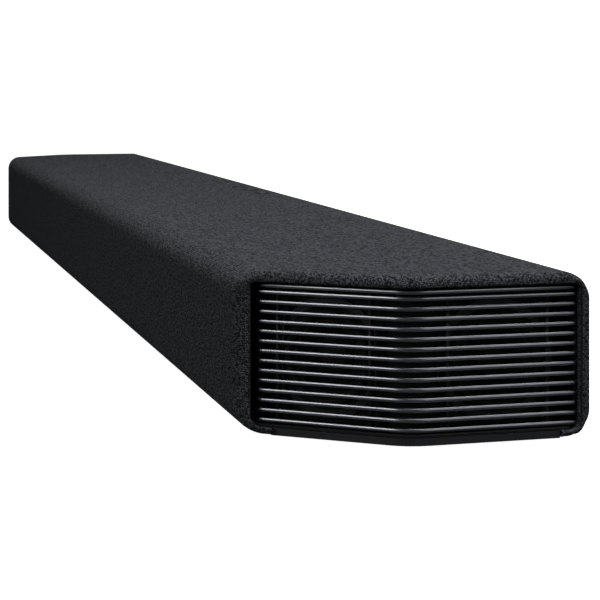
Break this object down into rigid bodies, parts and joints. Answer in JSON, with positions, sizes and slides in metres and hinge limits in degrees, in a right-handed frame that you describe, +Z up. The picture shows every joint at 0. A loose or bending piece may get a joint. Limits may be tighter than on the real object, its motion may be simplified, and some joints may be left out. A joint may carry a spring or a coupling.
{
  "type": "soundbar",
  "caption": "Long, low soundbar in a charcoal knit sleeve with rounded edges; its chamfered ends are open and closed off by horizontal metal bars in front of side-firing drivers.",
  "frame": {"origin": "on the floor under the middle of the bar", "axes": "+X along the bar to the right as seen from the front, -Y is the front, +Z up"},
  "size_m": [1.232, 0.138, 0.07],
  "materials": {
    "knit_fabric": "matt charcoal knit",
    "black_plastic": "fine spark-eroded texture, black",
    "inner_plastic": "plain moulded, black",
    "satin_metal": "satin dark grey metal",
    "rubber": "matt black",
    "black_screw": "blackened steel",
    "brass": "plain turned",
    "clear_plastic": "frosted",
    "button_plastic": "fine matt, dark grey",
    "socket_plastic": "satin black",
    "circuit_board": "green solder mask",
    "display_black": "gloss black",
    "shield_steel": "tinned",
    "heat_sink_aluminium": "plain extruded",
    "driver_black": "black coated",
    "cone_paper": "coated paper"
  },
  "bodies": {
    "root": {"fabric_cover": "knit_fabric", "grille_shell": "black_plastic", "end_frame_left": "black_plastic", "end_frame_right": "black_plastic", "end_bars_left": "satin_metal", "end_bars_right": "satin_metal", "bottom_cover": "black_plastic", "rubber_feet": "rubber", "case_screws": "black_screw", "bracket_inserts": "brass", "front_baffle": "inner_plastic", "top_deck": "inner_plastic", "chamber_walls": "inner_plastic", "end_baffle_left": "inner_plastic", "end_baffle_right": "inner_plastic", "status_lens": "clear_plastic", "control_board": "circuit_board", "display_module": "display_black", "main_board": "circuit_board", "wireless_module": "shield_steel", "amplifier_board": "circuit_board", "heat_sink": "heat_sink_aluminium", "power_board": "circuit_board", "power_inlet": "socket_plastic", "hdmi_sockets": "shield_steel", "optical_socket": "socket_plastic", "left_woofer_frames": "driver_black", "center_woofer_frames": "driver_black", "right_woofer_frames": "driver_black", "left_tweeter": "driver_black", "center_tweeter": "driver_black", "right_tweeter": "driver_black", "left_end_driver_frames": "driver_black", "right_end_driver_frames": "driver_black", "left_top_driver_frame": "driver_black", "right_top_driver_frame": "driver_black"},
    "mic_button": {"mic_button": "button_plastic"},
    "volume_down_button": {"volume_down_button": "button_plastic"},
    "volume_up_button": {"volume_up_button": "button_plastic"},
    "source_button": {"source_button": "button_plastic"},
    "pairing_button": {"pairing_button": "button_plastic"},
    "optical_door": {"optical_door": "socket_plastic"},
    "left_woofers": {"left_woofer_cones": "cone_paper", "left_woofer_surrounds": "rubber"},
    "center_woofers": {"center_woofer_cones": "cone_paper", "center_woofer_surrounds": "rubber"},
    "right_woofers": {"right_woofer_cones": "cone_paper", "right_woofer_surrounds": "rubber"},
    "left_wide_driver": {"left_wide_cone": "cone_paper", "left_wide_surround": "rubber"},
    "right_wide_driver": {"right_wide_cone": "cone_paper", "right_wide_surround": "rubber"},
    "left_side_driver": {"left_side_cone": "cone_paper", "left_side_surround": "rubber"},
    "right_side_driver": {"right_side_cone": "cone_paper", "right_side_surround": "rubber"},
    "left_top_driver": {"left_top_cone": "cone_paper", "left_top_surround": "rubber"},
    "right_top_driver": {"right_top_cone": "cone_paper", "right_top_surround": "rubber"}
  },
  "joints": [
    {"name": "mic_button_press", "type": "slide", "parent": "root", "child": "mic_button", "axis": [0, 0, -1], "range_m": [0, 0.0005], "stiffness_N_per_m": 4000, "springref_m": -0.0002},
    {"name": "volume_down_press", "type": "slide", "parent": "root", "child": "volume_down_button", "axis": [0, 0, -1], "range_m": [0, 0.0005], "stiffness_N_per_m": 4000, "springref_m": -0.0002},
    {"name": "volume_up_press", "type": "slide", "parent": "root", "child": "volume_up_button", "axis": [0, 0, -1], "range_m": [0, 0.0005], "stiffness_N_per_m": 4000, "springref_m": -0.0002},
    {"name": "source_press", "type": "slide", "parent": "root", "child": "source_button", "axis": [0, 0, -1], "range_m": [0, 0.0005], "stiffness_N_per_m": 4000, "springref_m": -0.0002},
    {"name": "pairing_press", "type": "slide", "parent": "root", "child": "pairing_button", "axis": [0, 0, 1], "range_m": [0, 0.0005], "stiffness_N_per_m": 4000, "springref_m": -0.0002},
    {"name": "optical_door_swing", "type": "hinge", "parent": "root", "child": "optical_door", "pos_m": [0.1336, 0.0385, 0.0167], "axis": [0, -1, 0], "range_deg": [0, 80], "stiffness_Nm_per_rad": 0.002},
    {"name": "left_woofers_move", "type": "slide", "parent": "root", "child": "left_woofers", "axis": [0, -1, 0], "range_m": [-0.002, 0.002], "stiffness_N_per_m": 900, "deforming": ["left_woofer_surrounds"]},
    {"name": "center_woofers_move", "type": "slide", "parent": "root", "child": "center_woofers", "axis": [0, -1, 0], "range_m": [-0.002, 0.002], "stiffness_N_per_m": 900, "deforming": ["center_woofer_surrounds"]},
    {"name": "right_woofers_move", "type": "slide", "parent": "root", "child": "right_woofers", "axis": [0, -1, 0], "range_m": [-0.002, 0.002], "stiffness_N_per_m": 900, "deforming": ["right_woofer_surrounds"]},
    {"name": "left_wide_move", "type": "slide", "parent": "root", "child": "left_wide_driver", "axis": [-0.7431, -0.6691, 0], "range_m": [-0.002, 0.002], "stiffness_N_per_m": 900, "deforming": ["left_wide_surround"]},
    {"name": "right_wide_move", "type": "slide", "parent": "root", "child": "right_wide_driver", "axis": [0.7431, -0.6691, 0], "range_m": [-0.002, 0.002], "stiffness_N_per_m": 900, "deforming": ["right_wide_surround"]},
    {"name": "left_side_move", "type": "slide", "parent": "root", "child": "left_side_driver", "axis": [-1, 0, 0], "range_m": [-0.002, 0.002], "stiffness_N_per_m": 900, "deforming": ["left_side_surround"]},
    {"name": "right_side_move", "type": "slide", "parent": "root", "child": "right_side_driver", "axis": [1, 0, 0], "range_m": [-0.002, 0.002], "stiffness_N_per_m": 900, "deforming": ["right_side_surround"]},
    {"name": "left_top_move", "type": "slide", "parent": "root", "child": "left_top_driver", "axis": [0, -0.2079, 0.9781], "range_m": [-0.002, 0.002], "stiffness_N_per_m": 900, "deforming": ["left_top_surround"]},
    {"name": "right_top_move", "type": "slide", "parent": "root", "child": "right_top_driver", "axis": [0, -0.2079, 0.9781], "range_m": [-0.002, 0.002], "stiffness_N_per_m": 900, "deforming": ["right_top_surround"]}
  ]
}
